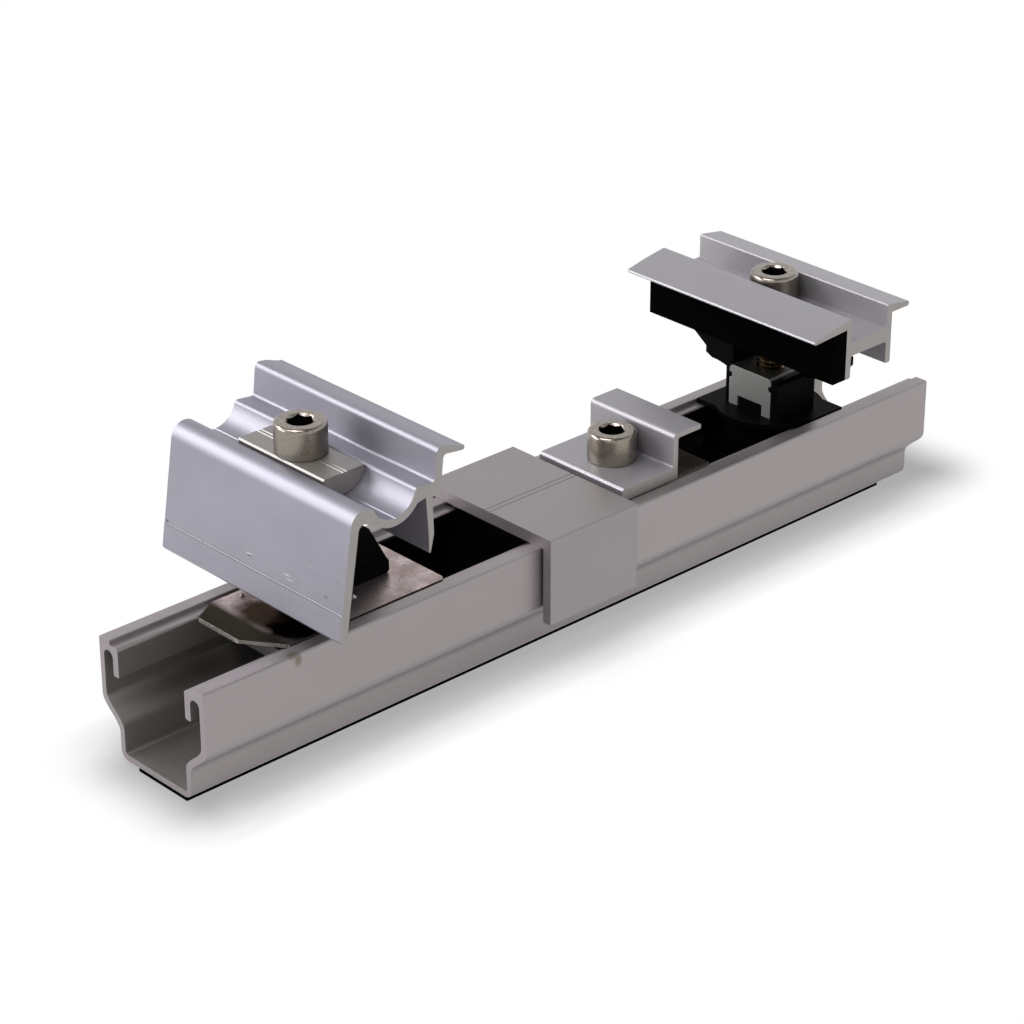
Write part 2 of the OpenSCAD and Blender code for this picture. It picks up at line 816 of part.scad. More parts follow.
module twist_foot() {
    neck_r = slot_half - slide_air;
    color([0.05, 0.05, 0.06])
        translate([mid_x, 0, 0])
            difference() {
                union() {
                    translate([0, 0, seat_z]) linear_extrude(foot_t) foot_plan();
                    translate([0, 0, wing_top_z - lug_t])
                        cylinder(r = neck_r, h = seat_z + foot_t / 2 - wing_top_z + lug_t, $fn = fine);
                    translate([0, 0, wing_top_z - lug_t])
                        linear_extrude(lug_t)
                            intersection() {
                                square([22, 2 * wing_half], center = true);
                                circle(wall_half - 0.5, $fn = fine);
                            }
                    translate([0, 0, foot_top_z]) {
                        translate([-block_x / 2 + 0.5, -rib_y / 2, -foot_t / 2])
                            cube([block_x - 1, rib_y, rib_h + foot_t / 2]);
                        clip();
                        rotate([0, 0, 180]) clip();
                        back_wall();
                    }
                }
                hole(hole_d, 0, block_top_z);
            }
}

rail();
sealing_strip();
saddle();
end_clamp();
rocker_washer();
end_screw();
end_guide();
bonding_plate();
end_slot_nut();
end_nut_cage();
stop_clamp();
stop_screw();
stop_plate();
stop_slot_nut();
stop_nut_cage();
mid_clamp();
spacer_pad();
mid_screw();
nut_block();
twist_foot();
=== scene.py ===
# %% [markdown]
# # Solar rail clamp
#
# The object is a short aluminium mounting rail for solar panels, with the clamps that sit on it.
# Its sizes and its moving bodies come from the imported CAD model. That model could be drawn again
# here, but then two sets of sizes would have to agree, so it is loaded first and never changed.
# Everything below gives those solids the look of the real pieces.

# %% Load the frame
import json
import math

import bmesh
import bpy
from mathutils import Matrix, Vector


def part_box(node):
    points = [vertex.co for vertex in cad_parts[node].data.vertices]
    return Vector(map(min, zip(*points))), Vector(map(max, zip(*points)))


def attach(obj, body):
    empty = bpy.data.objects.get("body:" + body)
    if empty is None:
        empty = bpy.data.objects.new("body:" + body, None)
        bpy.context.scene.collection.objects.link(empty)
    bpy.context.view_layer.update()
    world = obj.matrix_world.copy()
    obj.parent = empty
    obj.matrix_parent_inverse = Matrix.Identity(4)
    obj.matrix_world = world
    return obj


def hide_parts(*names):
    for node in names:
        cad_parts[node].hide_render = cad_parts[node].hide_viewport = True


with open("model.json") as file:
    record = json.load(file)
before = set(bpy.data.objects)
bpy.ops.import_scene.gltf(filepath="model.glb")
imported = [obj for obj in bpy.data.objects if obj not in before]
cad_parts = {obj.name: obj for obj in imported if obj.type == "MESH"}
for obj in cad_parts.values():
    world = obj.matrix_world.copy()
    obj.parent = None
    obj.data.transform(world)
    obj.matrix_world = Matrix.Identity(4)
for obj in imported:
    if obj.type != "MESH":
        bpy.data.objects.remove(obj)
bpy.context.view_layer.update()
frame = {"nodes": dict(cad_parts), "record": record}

MM = 0.001
nodes = frame["nodes"]
body_of = {n: body for body, names in frame["record"]["behaviour"]["bodies"].items() for n in names}

# %% [markdown]
# Every finish here is a small tree of shader nodes. Each node could be written out in full, but a
# tree of ten nodes then fills a page. One function adds a node of any kind, sets its properties and
# fills or links its inputs, and each finish stays short enough to read.
#
# Colours are written as sRGB hex values, as a colour picker shows them. A shader works with linear
# light, so one function turns the first into the second.

# %% Adding a node, and writing a colour
def add_node(tree, kind, props=None, inputs=None):
    node = tree.nodes.new(kind)
    for name, value in (props or {}).items():
        setattr(node, name, value)
    for name, value in (inputs or {}).items():
        if isinstance(value, bpy.types.NodeSocket):
            tree.links.new(value, node.inputs[name])
        else:
            node.inputs[name].default_value = value
    return node


def linear(hex_colour):
    channels = [int(hex_colour[i:i + 2], 16) / 255 for i in (1, 3, 5)]
    return [c / 12.92 if c <= 0.04045 else ((c + 0.055) / 1.055) ** 2.4 for c in channels] + [1.0]


def shaded(hex_colour, factor):
    """The same colour with more or less light, never past white."""
    return [min(1.0, c * factor) for c in linear(hex_colour)[:3]] + [1.0]


print("a warm grey in linear light:", [round(c, 3) for c in linear("#969092")[:3]])

# %% [markdown]
# All patterns are noise in object coordinates. Noise could also follow a UV map, but none of these
# pieces has a seam or a weave to follow, and object coordinates are real lengths: a pattern's scale
# is one over its size in millimetres. Every piece has its origin at the same point, so a pattern
# has the same size on all of them.

# %% Patterns with real sizes
def new_material(name):
    material = bpy.data.materials.new(name)
    material.use_nodes = True
    tree = material.node_tree
    shader = tree.nodes["Principled BSDF"]
    place = add_node(tree, "ShaderNodeTexCoord").outputs["Object"]
    return material, tree, shader, place


def per_mm(size):
    return 1 / (size * MM)


def noise(tree, place, size, detail=3.0, roughness=0.5):
    """Noise whose blobs are about the given size in millimetres."""
    node = add_node(tree, "ShaderNodeTexNoise", {},
                    {"Vector": place, "Scale": per_mm(size), "Detail": detail, "Roughness": roughness})
    return node.outputs["Fac"]


def spread(tree, value, low, high, to_low, to_high):
    """Maps a value from one range to another and holds it at both ends."""
    node = add_node(tree, "ShaderNodeMapRange", {},
                    {"Value": value, "From Min": low, "From Max": high, "To Min": to_low, "To Max": to_high})
    return node.outputs["Result"]


def mix(tree, factor, first, second):
    """Blends two colours. Sockets 6 and 7 are the colour inputs of a Mix node, and 2 is its result."""
    node = add_node(tree, "ShaderNodeMix", {"data_type": "RGBA"}, {"Factor": factor, 6: first, 7: second})
    return node.outputs[2]


def bump(tree, shader, height, depth, strength=1.0):
    """Gives a shader a relief of the given depth in millimetres."""
    node = add_node(tree, "ShaderNodeBump", {},
                    {"Height": height, "Strength": strength, "Distance": depth * MM})
    tree.links.new(node.outputs["Normal"], shader.inputs["Normal"])


print("a pattern of 0.3 mm has a noise scale of", round(per_mm(0.3)))

# %% [markdown]
# Marks of use sit at one place only: a nick in the clamp's skin, a smudge on the rail's edge. They
# could be painted on an image, but then the piece needs an unwrapped map. Here a mark is a lump in
# space: full at its centre, gone at its reach, and longer one way than another, with its own tint.
# Only the surface that passes through the lump is tinted. Lumps of the same kind paint shade into
# the channel between the clamps.

# %% Marks of use
def lump(tree, place, centre, reach):
    """One at the centre, falling to nothing at the reach. Both are in millimetres."""
    moved = add_node(tree, "ShaderNodeVectorMath", {"operation": "SUBTRACT"},
                     {0: place, 1: [c * MM for c in centre]})
    scaled = add_node(tree, "ShaderNodeVectorMath", {"operation": "DIVIDE"},
                      {0: moved.outputs["Vector"], 1: [r * MM for r in reach]})
    far = add_node(tree, "ShaderNodeVectorMath", {"operation": "LENGTH"}, {0: scaled.outputs["Vector"]})
    return spread(tree, far.outputs["Value"], 0.4, 1.0, 1.0, 0.0)


LEG_X = -94.3  # the outer face of the end clamp's leg, where its nicks are
NICKS = [
    # a fine line of the die along the whole leg, then single nicks: a dark pit or a bright burr
    ((LEG_X, 0, 45.6), (3, 90, 0.5), "#7b7981"),
    ((LEG_X, 0.7, 48.4), (3, 0.9, 0.25), "#55555e"),
    ((LEG_X, 1.0, 48.8), (3, 1.6, 0.18), "#cccbd4"),
    ((LEG_X, -12.8, 48.5), (3, 1.4, 0.18), "#c6c5ce"),
    ((LEG_X, -14.0, 47.6), (3, 1.6, 0.16), "#c0bfc8"),
    ((LEG_X, -17.0, 48.0), (3, 1.4, 0.16), "#88878f"),
    ((LEG_X, -26.7, 48.2), (3, 1.0, 0.25), "#66656d"),
    ((LEG_X, 31.8, 46.0), (3, 0.8, 0.5), "#5e5e66"),
    ((LEG_X, -30.2, 53.0), (3, 0.3, 0.3), "#5a5a62"),
    ((LEG_X, -20.0, 54.5), (3, 0.25, 0.25), "#5a5a62"),
]
RAIL_MARKS = [
    # two smudges on the near wall beside the plate's tab, and a black speck inside the end
    ((-98.4, -19.3, 31.6), (2.0, 2.6, 1.4), "#857b73"),
    ((-97.2, -19.3, 30.0), (1.4, 2.0, 2.2), "#7f766e"),
    ((-124.0, -16.9, 15.7), (2.4, 0.9, 1.6), "#0a0a0a"),
]
CHANNEL_SHADE = [
    # painted shade: the channel is painted black between the clamps, where shade falls, and left pale near its
    # open ends
    ((-40.0, 0.0, 15.0), (52, 400, 400), "#131111"),
    ((58.0, 0.0, 15.0), (52, 400, 400), "#131111"),
]
print("marks:", len(NICKS), "on the clamp,", len(RAIL_MARKS), "on the rail,", len(CHANNEL_SHADE), "inside it")

# %% [markdown]
# Extruded aluminium is pushed through a die, which leaves very fine lines along its length, and
# anodising then gives it a satin skin. A flat metal shader with a low roughness would mirror too
# sharply, and an anisotropic one hides its lines on a face seen square on. Noise that is stretched
# along the extrusion shows the lines themselves. Real die lines are about 0.05 mm apart. Here they
# are 0.3 mm, so that they just show. A finer noise is the grain of the etched skin, and a wide one
# the faint clouds of the bath.
#
# The oxide layer scatters part of the light before the metal mirrors the rest, so the metal share is
# a little below one, and lowest on the thickly anodised small clamps.

# %% Anodised aluminium
DIE_LINE_GAP, DIE_LINE_RUN = 0.3, 60.0
ETCH_GRAIN, BATH_CLOUD = 0.25, 14.0
SUM_LOW, SUM_HIGH = 0.9, 2.1  # the range that three added noises stay in


def stretched_noise(tree, place, along, gap, run):
    """Lines of the given gap across and run along one axis, in millimetres."""
    scale = [per_mm(gap)] * 3
    scale["XYZ".index(along)] = per_mm(run)
    stretched = add_node(tree, "ShaderNodeMapping", {}, {"Vector": place, "Scale": scale})
    lines = add_node(tree, "ShaderNodeTexNoise", {},
                     {"Vector": stretched.outputs["Vector"], "Scale": 1.0, "Detail": 3.0, "Roughness": 0.6})
    return lines.outputs["Fac"]


def anodised(name, colour, along, roughness, metal, tone_range=0.07, marks=()):
    material, tree, shader, place = new_material(name)
    lines = stretched_noise(tree, place, along, DIE_LINE_GAP, DIE_LINE_RUN)
    skin = noise(tree, place, ETCH_GRAIN, 2.0)
    mixed = add_node(tree, "ShaderNodeMath", {"operation": "ADD"}, {0: lines, 1: skin})
    mixed = add_node(tree, "ShaderNodeMath", {"operation": "ADD"},
                     {0: mixed.outputs[0], 1: noise(tree, place, BATH_CLOUD)}).outputs[0]
    tone = spread(tree, mixed, SUM_LOW, SUM_HIGH, 1 - tone_range, 1 + tone_range)
    base = add_node(tree, "ShaderNodeVectorMath", {"operation": "SCALE"},
                    {0: linear(colour)[:3], "Scale": tone}).outputs["Vector"]
    for centre, reach, tint in marks:
        base = mix(tree, lump(tree, place, centre, reach), base, linear(tint))
    tree.links.new(base, shader.inputs["Base Color"])
    satin = spread(tree, mixed, SUM_LOW, SUM_HIGH, roughness - 0.04, roughness + 0.05)
    tree.links.new(satin, shader.inputs["Roughness"])
    height = add_node(tree, "ShaderNodeMath", {"operation": "MULTIPLY_ADD"}, {0: skin, 1: 0.5, 2: lines})
    bump(tree, shader, height.outputs[0], 0.004)
    shader.inputs["Metallic"].default_value = metal
    return material


RAIL_SKIN = anodised("anodised_rail_extrusion", "#9f9899", "X", 0.42, 0.85, marks=RAIL_MARKS)
# painted shade: the channel lumps paint the rail's inside black between the clamps
RAIL_INSIDE = anodised("anodised_rail_inside_shaded", "#9d9995", "X", 0.42, 0.85, marks=CHANNEL_SHADE)
SADDLE_SKIN = anodised("anodised_saddle_extrusion", "#979192", "X", 0.42, 0.85)
CLAMP_SKIN = anodised("anodised_clamp_extrusion", "#92909a", "Y", 0.47, 0.85, 0.11, NICKS)
MID_SKIN = anodised("anodised_mid_extrusion", "#9d9a9f", "Y", 0.42, 0.6)
STOP_SKIN = anodised("anodised_stop_extrusion", "#98959b", "Y", 0.42, 0.6)
WASHER_SKIN = anodised("drawn_half_round_bar", "#8f8c89", "Y", 0.42, 0.8)
print("anodised finishes:", [m.name for m in bpy.data.materials if m.name.startswith("anodised")])

# %% [markdown]
# The ends of an extrusion are sawn to length after anodising, so bare metal shows there. A fine saw
# leaves marks square to its travel. They could be cut as real grooves, but those are a hundredth of
# a millimetre deep, so a bump of that depth from stretched noise, turned a little, does the same.

# %% Sawn aluminium
SAW_TOOTH, SAW_SWEEP = 0.35, 9.0
SAW_TURN = 0.35  # radians by which the marks lean


def sawn(name, colour, along, roughness, contrast=1.25):
    material, tree, shader, place = new_material(name)
    scale = [per_mm(SAW_SWEEP)] * 3
    scale["XYZ".index(along)] = per_mm(SAW_TOOTH)
    turned = add_node(tree, "ShaderNodeMapping", {},
                      {"Vector": place, "Rotation": (0.0, SAW_TURN, SAW_TURN), "Scale": scale})
    saw_marks = add_node(tree, "ShaderNodeTexNoise", {},
                         {"Vector": turned.outputs["Vector"], "Scale": 1.0, "Detail": 2.0}).outputs["Fac"]
    pale = [c * contrast for c in linear(colour)[:3]] + [1.0]
    tree.links.new(mix(tree, saw_marks, linear(colour), pale), shader.inputs["Base Color"])
    bump(tree, shader, saw_marks, 0.012)
    shader.inputs["Metallic"].default_value = 0.8
    shader.inputs["Roughness"].default_value = roughness
    return material


RAIL_CUT = sawn("sawn_rail_end", "#8e878a", "Y", 0.5)
CLAMP_CUT = sawn("sawn_clamp_end", "#95918f", "X", 0.5)
BLOCK_CUT = sawn("sawn_block", "#828280", "Y", 0.6, 1.12)
# painted reflection: the nut blocks' tops are painted dark for the black parts they mirror
BLOCK_TOP_REFLECTION = sawn("block_top_painted_reflection", "#35332f", "Y", 0.5, 1.4)
print("sawn finishes:", [m.name for m in (RAIL_CUT, CLAMP_CUT, BLOCK_CUT, BLOCK_TOP_REFLECTION)])

# %% [markdown]
# The cap screws are stainless steel. Their heads are cold formed and worn: the side is a mottled
# brownish grey, the rounded top edge mirrors more sharply, the socket is painted dark as painted
# shade of its recess, and the thread has a golden tint. One metal with a single dirt mask could hold
# all four, but the borders between them are edges of the shape, so four plain finishes on four
# groups of faces are simpler. In each, one noise drives both the tint and the roughness, because
# stains are dull.

# %% Stainless steel
HEAD_PIT_SIZE = 0.5


def stainless(name, colour, roughness, stain_size=2.2, contrast=0.3, pit_depth=0.0):
    material, tree, shader, place = new_material(name)
    stain = noise(tree, place, stain_size, 5.0, 0.7)
    blend = spread(tree, stain, 0.35, 0.65, 0.0, 1.0)
    worn = mix(tree, blend, shaded(colour, 1 - contrast), shaded(colour, 1 + contrast))
    tree.links.new(worn, shader.inputs["Base Color"])
    dull = spread(tree, stain, 0.3, 0.7, roughness - 0.05, roughness + 0.08)
    tree.links.new(dull, shader.inputs["Roughness"])
    if pit_depth:
        bump(tree, shader, noise(tree, place, HEAD_PIT_SIZE, 2.0), pit_depth)
    shader.inputs["Metallic"].default_value = 1.0
    return material


HEAD_SIDE = stainless("stainless_worn_side", "#938c80", 0.3, 0.5, 0.14, 0.01)
HEAD_TOP = stainless("stainless_headed", "#8f8780", 0.18, 0.8, 0.3, 0.01)
# painted shade: the socket's dark colour stands in for the shade inside its recess
SOCKET_SHADE = stainless("stainless_socket_painted_shade", "#3b3530", 0.3, 0.8, 0.5, 0.01)
THREAD = stainless("stainless_rolled_thread", "#6b604b", 0.24)
SHEET_EDGE = stainless("stainless_cut_edge", "#96938e", 0.25, 3.0, 0.15)
print("stainless finishes:", [m.name for m in bpy.data.materials if m.name.startswith("stainless")])

# %% [markdown]
# The plates are thin stainless sheet, stained by handling: a pinkish beige with brown clouds and
# fine dark freckles, each from a noise of its own size. The bonding plate is painted nearly black
# where the clamp's leg shades it, a painted shadow, and its bent tab is painted a dark grey as
# painted shade for the dark it lies in and mirrors. The stop plate is painted dark all over as
# painted shade under its clamp.
#
# Round patches looked like blobs. Moving each point by a coarse noise before the lump is measured
# gives them ragged edges. Seen almost flat, a sheet mirrors the white room whatever its colour, so
# the specular tint, which sets that grazing mirror of a metal, is held down.

# %% Stained sheet
TAB_FROM, TAB_TO = -97.0, -94.0  # the tab's tint fades out between these places on the rail
RAGGED_SIZE, RAGGED_SHIFT = 5.0, 9.0
GRAZING_TINT = (0.35, 0.33, 0.32, 1.0)


def ragged_place(tree, place):
    """The place of a point, moved by up to half the shift either way."""
    swirl = add_node(tree, "ShaderNodeTexNoise", {},
                     {"Vector": place, "Scale": per_mm(RAGGED_SIZE), "Detail": 3.0})
    moved = add_node(tree, "ShaderNodeVectorMath", {"operation": "MULTIPLY_ADD"},
                     {0: swirl.outputs["Color"], 1: [RAGGED_SHIFT * MM] * 3, 2: place})
    centred = add_node(tree, "ShaderNodeVectorMath", {"operation": "SUBTRACT"},
                       {0: moved.outputs["Vector"], 1: [RAGGED_SHIFT / 2 * MM] * 3})
    return centred.outputs["Vector"]


def stained_sheet(name, pale, dark, freckle, roughness, tab=None, patches=()):
    material, tree, shader, place = new_material(name)
    clouds = spread(tree, noise(tree, place, 6.0, 4.0, 0.6), 0.38, 0.62, 0.0, 1.0)
    base = mix(tree, clouds, linear(dark), linear(pale))
    specks = spread(tree, noise(tree, place, 0.7, 4.0, 0.7), 0.56, 0.72, 0.0, 0.8)
    base = mix(tree, specks, base, linear(freckle))
    ragged = ragged_place(tree, place)
    for centre, reach, tint in patches:
        base = mix(tree, lump(tree, ragged, centre, reach), base, linear(tint))
    # painted shade: the bent tab is painted dark grey for the shade it lies in and the dark it mirrors
    if tab:
        along = add_node(tree, "ShaderNodeSeparateXYZ", {}, {"Vector": place}).outputs["X"]
        tab_shade_mask = spread(tree, along, TAB_FROM * MM, TAB_TO * MM, 1.0, 0.0)
        base = mix(tree, tab_shade_mask, base, linear(tab))
    tree.links.new(base, shader.inputs["Base Color"])
    tree.links.new(spread(tree, clouds, 0.0, 1.0, roughness + 0.1, roughness), shader.inputs["Roughness"])
    bump(tree, shader, noise(tree, place, 0.8, 3.0), 0.01)
    shader.inputs["Metallic"].default_value = 1.0
    shader.inputs["Specular Tint"].default_value = GRAZING_TINT
    return material


# painted shadow: these patches paint the clamp leg's shadow on the bonding plate, near black beside the leg
LEG_SHADOW_PATCHES = [
    ((-89.0, -7.0, 31.3), (11, 19, 12), "#171412"),
    ((-90.5, 3.0, 31.3), (8, 9, 12), "#4a413b"),
]
# painted shade: the tab colour #4b4a44 stands in for the shade on the bent tab
SHEET = stained_sheet("stained_stainless_sheet", "#d3c4c5", "#b3a4a2", "#6a6058", 0.36,
                      "#4b4a44", LEG_SHADOW_PATCHES)
# painted shade: the stop plate is painted dark all over for the shade of the clamp above it
STOP_SHEET = stained_sheet("shaded_stainless_sheet", "#5f5b57", "#48443f", "#36322e", 0.42)
print("sheet finishes:", SHEET.name, "and", STOP_SHEET.name)

# %% [markdown]
# The black mouldings are glass-filled nylon with a satin skin, and the strip and the pad are rubber,
# which is duller. Both are almost black from every side. A low specular level only dims the mirror
# of a face seen square on, while one seen nearly flat still turns grey. A low index of refraction
# dims both, so it is set well below that of plain plastic, and the colour is close to black.

# %% Black plastic and rubber
def black_moulding(name, colour, roughness, index, grain, depth):
    material, tree, shader, place = new_material(name)
    pebble = noise(tree, place, grain)
    dull = spread(tree, pebble, 0.0, 1.0, roughness - 0.08, roughness + 0.08)
    tree.links.new(dull, shader.inputs["Roughness"])
    tree.links.new(mix(tree, pebble, linear(colour), shaded(colour, 1.5)), shader.inputs["Base Color"])
    bump(tree, shader, pebble, depth, 0.6)
    shader.inputs["IOR"].default_value = index
    return material


NYLON = black_moulding("glass_filled_nylon", "#040405", 0.45, 1.09, 0.5, 0.02)
RUBBER = black_moulding("epdm_rubber", "#020202", 0.8, 1.06, 0.6, 0.02)
print("materials:", len(bpy.data.materials))

# %% [markdown]
# A CAD node is a bag of loose triangles with perfectly sharp edges, and no real edge is sharp: it
# catches a thin line of light. A Bevel modifier on the node could round it, but loose triangles
# share no edges for it to find. So a copy is merged into one skin, flat neighbours are dissolved
# into whole faces, and its sharp edges are bevelled.

# %% A joined copy of a CAD node
SHARP = math.radians(24)  # facets of a drawn curve meet at less than this, real edges at more


def joined_copy(node):
    bm = bmesh.new()
    bm.from_mesh(nodes[node].data)
    bmesh.ops.remove_doubles(bm, verts=bm.verts, dist=0.002 * MM)
    bmesh.ops.dissolve_degenerate(bm, dist=0.001 * MM, edges=bm.edges)
    bmesh.ops.dissolve_limit(bm, angle_limit=math.radians(0.5), verts=bm.verts, edges=bm.edges)
    return bm


def sharp_edges(bm):
    return [e for e in bm.edges if e.is_manifold and e.calc_face_angle() > SHARP]


trial = joined_copy("rail")
print("the rail's copy has", len(trial.faces), "faces and", len(sharp_edges(trial)), "sharp edges")
trial.free()

# %% [markdown]
# An extrusion's long corners are rounded by the die, so they get a wider radius than the sawn edges.
# One wide bevel on every edge would be quicker, but it eats the thin walls. The wide one is kept to
# convex corners that run along the extrusion between two wide faces, and a small one takes the rest.

# %% Rounding the edges
CORNER_R = 0.28
SQUARE_ENOUGH = 1.0  # radians: only corners that turn at least this far are rounded by the die


def open_corners(bm, axis, radius):
    """The convex corners along an extrusion whose two faces are wide enough for this radius."""
    def wide(edge):
        run = edge.verts[0].co - edge.verts[1].co
        along = abs(run[axis]) > 0.99 * run.length
        return along and all(face.calc_area() / edge.calc_length() > 3 * radius * MM for face in edge.link_faces)
    return [e for e in sharp_edges(bm) if e.is_convex and e.calc_face_angle() > SQUARE_ENOUGH and wide(e)]


def soften(bm, radius, edges=None, segments=2):
    edges = sharp_edges(bm) if edges is None else edges
    bmesh.ops.bevel(bm, geom=edges, offset=radius * MM, offset_type="OFFSET", segments=segments,
                    profile=0.5, affect="EDGES", clamp_overlap=True, material=-1, loop_slide=True)


trial = joined_copy("end_clamp")
print("the end clamp has", len(open_corners(trial, 1, CORNER_R)), "long corners with room for", CORNER_R, "mm")
trial.free()

# %% [markdown]
# Smooth shading averages the faces at a corner, and beside a tiny bevel it bends the look of the
# whole flat next to it: the clamp's leg then shows a false gradient. A Weighted Normal modifier
# cures that. The same is done here in a few lines, so that it stays in the mesh: at each corner the
# faces that lie within the crease angle are averaged by their area, and the large flat wins.

# %% Level normals
CREASE = math.radians(38)


def level_normals(mesh):
    """Lets the largest faces at a corner decide its shading, so that flats stay flat beside roundings."""
    faces_at = [[] for _ in mesh.vertices]
    for face in mesh.polygons:
        for index in face.vertices:
            faces_at[index].append((face.normal.copy(), face.area))
    limit = math.cos(CREASE)
    normals = []
    for face in mesh.polygons:
        for index in face.vertices:
            total = Vector()
            for normal, area in faces_at[index]:
                if normal.dot(face.normal) > limit:
                    total += normal * area
            normals.append(total.normalized())
    mesh.normals_split_custom_set(normals)


print("corners blunter than", round(math.degrees(CREASE)), "degrees are shaded smooth")

# %% [markdown]
# A finished copy becomes an object at the origin and rides the same body as its CAD node. The node
# could be bevelled itself, but it is the record of the real size, so it stays as it is, unseen, and
# the copy takes its place.

# %% From a copy to a dressed piece
def finish_piece(bm, name, body, materials, paint=None):
    """Writes a bmesh to an object with smooth faces and crisp corners, and sets it riding."""
    for face in bm.faces:
        face.smooth = True
        if paint:
            face.material_index = paint(face)
    for edge in bm.edges:
        edge.smooth = not (edge.is_manifold and edge.calc_face_angle() > CREASE)
    mesh = bpy.data.meshes.new(name)
    bm.to_mesh(mesh)
    bm.free()
    level_normals(mesh)
    for material in materials:
        mesh.materials.append(material)
    piece = bpy.data.objects.new(name, mesh)
    bpy.context.scene.collection.objects.link(piece)
    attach(piece, body)
    return piece


def dress(node, radius, materials, paint=None, axis=None, squeeze=None):
    """Softens a copy of a node, and the long corners of an extrusion more, and puts it in the node's place."""
    bm = joined_copy(node)
    if squeeze:
        bmesh.ops.scale(bm, vec=(1.0, squeeze, 1.0), verts=bm.verts)
    if axis is not None:
        soften(bm, CORNER_R, open_corners(bm, axis, CORNER_R), 3)
    soften(bm, radius)
    piece = finish_piece(bm, node + "_skin", body_of[node], materials, paint)
    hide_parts(node)
    print(node, "has", len(piece.data.polygons), "faces")
    return piece


# %% [markdown]
# One piece can carry several finishes. They could be split by hand in Edit Mode, but a rule holds
# when the shape changes: a face's direction and place tell a sawn end from a drawn side, the inside
# of the channel from the outside of the rail, and a plate's cut edge from its flat.

# %% Which finish goes on which face
def cut_end(axis):
    """Paints the faces that look along the extrusion, which are the sawn ends, with the second material."""
    return lambda face: 1 if abs(face.normal[axis]) > 0.95 else 0


def rail_paint(face):
    """Sawn ends, the walls and floor that look into the channel, and the outer skin of the rail."""
    if abs(face.normal.x) > 0.95:
        return 1
    middle = face.calc_center_median()
    inward = face.normal.y * middle.y < 0 and abs(face.normal.y) > 0.3
    channel_floor = face.normal.z > 0.3 and middle.z < 16 * MM and abs(middle.y) < 17 * MM
    return 2 if (inward or channel_floor) and middle.z < 30 * MM else 0


def cut_edge(face):
    """Paints the narrow upright faces of a plate, which are its cut edges, with the second material."""
    return 1 if abs(face.normal.z) < 0.6 else 0


def block_paint(face):
    """Top painted dark as a painted reflection of the black parts above, sawn ends and drawn sides of a nut
    block.
    """
    if face.normal.z > 0.9:
        return 2
    return 1 if abs(face.normal.x) > 0.95 else 0


print("paint rules:", [rule.__name__ for rule in (cut_end, rail_paint, cut_edge, block_paint)])

# %% [markdown]
# The extrusions come first. Rail and saddle are drawn along X, the three clamps and the washer's
# half-round bar along Y, and the die lines and sawn ends follow from that. The stop clamp is small
# and its corners are crisp, so it has only the small bevel. The nut blocks are cut from drawn bar.

# %% Extruded pieces
EDGE_BREAK = 0.12
BAR_EDGE_BREAK = 0.1
BLOCK_EDGE_BREAK = 0.15

dress("rail", EDGE_BREAK, [RAIL_SKIN, RAIL_CUT, RAIL_INSIDE], rail_paint, 0)
dress("saddle", EDGE_BREAK, [SADDLE_SKIN, RAIL_CUT], cut_end(0), 0)
dress("end_clamp", EDGE_BREAK, [CLAMP_SKIN, CLAMP_CUT], cut_end(1), 1)
dress("rocker_washer", BAR_EDGE_BREAK, [WASHER_SKIN, CLAMP_CUT], cut_end(1))
dress("stop_clamp", EDGE_BREAK, [STOP_SKIN, CLAMP_CUT], cut_end(1))
dress("mid_clamp", EDGE_BREAK, [MID_SKIN, CLAMP_CUT], cut_end(1), 1)
for name in ("nut_block", "end_slot_nut", "stop_slot_nut"):
    dress(name, BLOCK_EDGE_BREAK, [WASHER_SKIN, BLOCK_CUT, BLOCK_TOP_REFLECTION], block_paint)

# %% [markdown]
# The thin plates have bright cut edges from the press. The mouldings get a larger radius, because a
# mould can't have a sharp corner. Of the rubber strip only a thin line shows beside the rail, so
# its copy is squeezed to nine tenths of its width. A scale of the object would do that too, but
# then its patterns would be squeezed as well, so the mesh itself is scaled.

# %% Plates, mouldings and rubber
SHEET_EDGE_BREAK = 0.1
MOULD_R = 0.2
STRIP_SQUEEZE = 0.91

dress("bonding_plate", SHEET_EDGE_BREAK, [SHEET, SHEET_EDGE], cut_edge)
dress("stop_plate", SHEET_EDGE_BREAK, [STOP_SHEET, SHEET_EDGE], cut_edge)
for name in ("end_guide", "twist_foot", "end_nut_cage", "stop_nut_cage"):
    dress(name, MOULD_R, [NYLON])
dress("spacer_pad", SHEET_EDGE_BREAK, [RUBBER])
dress("sealing_strip", SHEET_EDGE_BREAK, [RUBBER], squeeze=STRIP_SQUEEZE)

# %% [markdown]
# A metric thread is one V groove wound round the shank. It could be faked with a bump, but its edge
# shows against the light between clamp and nut. The Screw modifier would wind it too. Here the spin
# operator does: a profile of one pitch is turned round the axis while it climbs, so that each turn
# meets the next. The groove's depth and flats come from the standard shape of the thread.

# %% The thread and the plain shank
PITCH = 1.25
CREST_R = 3.95
ROOT_R = CREST_R - 0.5413 * PITCH
FLANK = 0.3125 * PITCH
CREST = PITCH / 8
STEPS = 24


def thread(bm, x, top, bottom):
    ring = [(CREST_R, 0), (CREST_R, CREST), (ROOT_R, CREST + FLANK), (ROOT_R, PITCH - FLANK), (CREST_R, PITCH)]
    verts = [bm.verts.new((x + r * MM, 0, (top - drop) * MM)) for r, drop in ring]
    edges = [bm.edges.new(pair) for pair in zip(verts, verts[1:])]
    turns = (top - bottom) / PITCH - 1
    steps = round(turns * STEPS)
    bmesh.ops.spin(bm, geom=verts + edges, cent=(x, 0, 0), axis=(0, 0, 1),
                   dvec=(0, 0, -PITCH * MM / STEPS), angle=2 * math.pi * steps / STEPS, steps=steps,
                   use_merge=False, use_duplicate=False)


